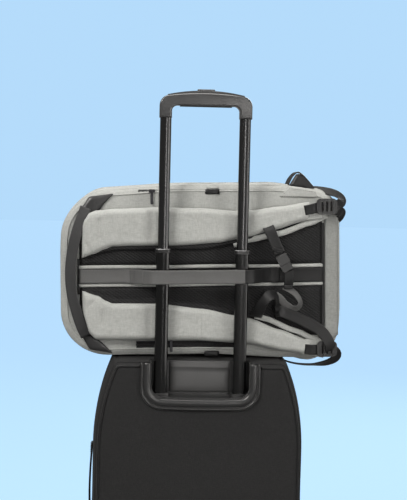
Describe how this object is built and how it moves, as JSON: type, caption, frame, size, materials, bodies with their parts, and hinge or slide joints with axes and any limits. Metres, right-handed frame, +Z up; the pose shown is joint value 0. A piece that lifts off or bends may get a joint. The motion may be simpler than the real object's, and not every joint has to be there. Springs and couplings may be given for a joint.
{
  "type": "rolling duffel bag",
  "caption": "Grey travel duffel with backpack straps, riding on a black wheeled upright case and held by a strap to its telescopic handle.",
  "frame": {"origin": "on the floor under the middle of the set", "axes": "+Z up; -Y towards the back, the side of the handle and the duffel's harness; +Y towards the lids; +X to the right seen from the back"},
  "size_m": [0.5152, 0.249, 1.0283],
  "materials": {
    "case_fabric": "dense plain weave, dull black",
    "lining": "thin lining cloth",
    "case_plastic": "satin moulded plastic",
    "tube_metal": "gloss black enamel",
    "tube_silver": "satin ring",
    "collar_plastic": "gloss black",
    "grip_plastic": "gloss black",
    "grip_rubber": "soft matt rubber",
    "button_plastic": "satin grey plastic",
    "steel": "bright steel",
    "tyre_rubber": "matt rubber",
    "hub_plastic": "moulded nylon",
    "zip_black": "coil zip on woven tape",
    "zip_metal": "black enamelled zinc",
    "webbing": "woven webbing",
    "duffel_fabric": "light grey heather canvas",
    "mesh": "knitted spacer mesh",
    "buckle_plastic": "acetal"
  },
  "bodies": {
    "case": {"case_back_panel": "case_fabric", "case_bottom_gusset": "case_fabric", "case_top_gusset": "case_fabric", "case_side_gusset_left": "case_fabric", "case_side_gusset_right": "case_fabric", "case_divider": "lining", "case_top_handle": "webbing", "case_zip_chain": "zip_black", "front_feet": "case_plastic", "handle_housing": "case_plastic", "case_side_handle": "webbing", "outer_tube_left": "tube_metal", "outer_tube_right": "tube_metal", "wheel_housing_left": "case_plastic", "wheel_housing_right": "case_plastic", "wheel_axle_left": "steel", "wheel_axle_right": "steel"},
    "wheel_left": {"wheel_tyre_left": "tyre_rubber", "wheel_hub_left": "hub_plastic", "wheel_bearings_left": "steel"},
    "wheel_right": {"wheel_tyre_right": "tyre_rubber", "wheel_hub_right": "hub_plastic", "wheel_bearings_right": "steel"},
    "handle_middle_stage": {"middle_tube_left": "tube_metal", "middle_tube_right": "tube_metal", "middle_tube_collar_left": "collar_plastic", "middle_tube_collar_right": "collar_plastic"},
    "handle_top_stage": {"inner_tube_left": "tube_metal", "inner_tube_right": "tube_metal", "lock_block_left": "hub_plastic", "lock_block_right": "hub_plastic", "grip_body": "grip_plastic", "grip_cover": "grip_plastic", "grip_soft_insert": "grip_rubber", "button_spring": "steel"},
    "release": {"release_button": "button_plastic", "release_rod_left": "steel", "release_rod_right": "steel"},
    "pin_left": {"lock_pin_left": "steel"},
    "pin_right": {"lock_pin_right": "steel"},
    "lid": {"case_lid": "case_fabric", "lid_pocket": "case_fabric"},
    "case_slider_lower": {"case_zip_slider_lower": "zip_metal"},
    "case_slider_upper": {"case_zip_slider_upper": "zip_metal"},
    "pocket_slider": {"pocket_zip_slider": "zip_metal"},
    "duffel": {"duffel_shell": "duffel_fabric", "duffel_zip_chain": "zip_black", "back_pad_upper": "mesh", "back_pad_lower": "mesh", "shoulder_strap_upper": "duffel_fabric", "shoulder_strap_lower": "duffel_fabric", "trolley_strap": "webbing", "end_handle": "webbing", "ladder_lock_upper": "buckle_plastic", "ladder_lock_lower": "buckle_plastic", "sternum_buckle_plug": "buckle_plastic", "sternum_buckle_socket": "buckle_plastic"},
    "duffel_front": {"duffel_flap": "duffel_fabric"},
    "duffel_slider_upper": {"duffel_zip_slider_upper": "zip_metal"},
    "duffel_slider_lower": {"duffel_zip_slider_lower": "zip_metal"}
  },
  "joints": [
    {"name": "wheel_left_spin", "type": "hinge", "parent": "case", "child": "wheel_left", "pos_m": [-0.15, -0.09, 0.035], "axis": [1, 0, 0], "continuous": true},
    {"name": "wheel_right_spin", "type": "hinge", "parent": "case", "child": "wheel_right", "pos_m": [0.15, -0.09, 0.035], "axis": [1, 0, 0], "continuous": true},
    {"name": "handle_stage_1", "type": "slide", "parent": "case", "child": "handle_middle_stage", "axis": [0, 0, 1], "range_m": [-0.249, 0]},
    {"name": "handle_stage_2", "type": "slide", "parent": "handle_middle_stage", "child": "handle_top_stage", "axis": [0, 0, 1], "range_m": [-0.232, 0]},
    {"name": "button_press", "type": "slide", "parent": "handle_top_stage", "child": "release", "axis": [0, 0, -1], "range_m": [0, 0.0035], "stiffness_N_per_m": 900, "springref_m": -0.002, "deforming": ["button_spring"]},
    {"name": "pin_left_draw", "type": "slide", "parent": "handle_top_stage", "child": "pin_left", "axis": [1, 0, 0], "range_m": [0, 0.003]},
    {"name": "pin_right_draw", "type": "slide", "parent": "handle_top_stage", "child": "pin_right", "axis": [-1, 0, 0], "range_m": [0, 0.003]},
    {"name": "lid_hinge", "type": "hinge", "parent": "case", "child": "lid", "pos_m": [0.1874, 0.07525, 0.29], "axis": [0, 0, -1], "range_deg": [0, 110]},
    {"name": "case_slider_lower_run", "type": "slide", "parent": "case", "child": "case_slider_lower", "axis": [0, 0, -1], "range_m": [0, 0.2]},
    {"name": "case_slider_upper_run", "type": "slide", "parent": "case", "child": "case_slider_upper", "axis": [0, 0, 1], "range_m": [0, 0.045]},
    {"name": "pocket_slider_run", "type": "slide", "parent": "lid", "child": "pocket_slider", "axis": [1, 0, 0], "range_m": [-0.11, 0.11]},
    {"name": "duffel_lift", "type": "slide", "parent": "case", "child": "duffel", "axis": [0, 0, 1], "range_m": [0, 0.5]},
    {"name": "duffel_front_hinge", "type": "hinge", "parent": "duffel", "child": "duffel_front", "pos_m": [-0.00467, 0.09225, 0.86248], "axis": [0.9996, 0, 0.0279], "range_deg": [0, 100]},
    {"name": "duffel_slider_upper_run", "type": "slide", "parent": "duffel", "child": "duffel_slider_upper", "axis": [0.9996, 0, 0.0279], "range_m": [-0.02, 0.08]},
    {"name": "duffel_slider_lower_run", "type": "slide", "parent": "duffel", "child": "duffel_slider_lower", "axis": [0.9996, 0, 0.0279], "range_m": [-0.06, 0.04]}
  ],
  "couplings": [
    {"joint": "pin_left_draw", "follows": "button_press", "ratio": 0.8},
    {"joint": "pin_right_draw", "follows": "button_press", "ratio": 0.8}
  ]
}
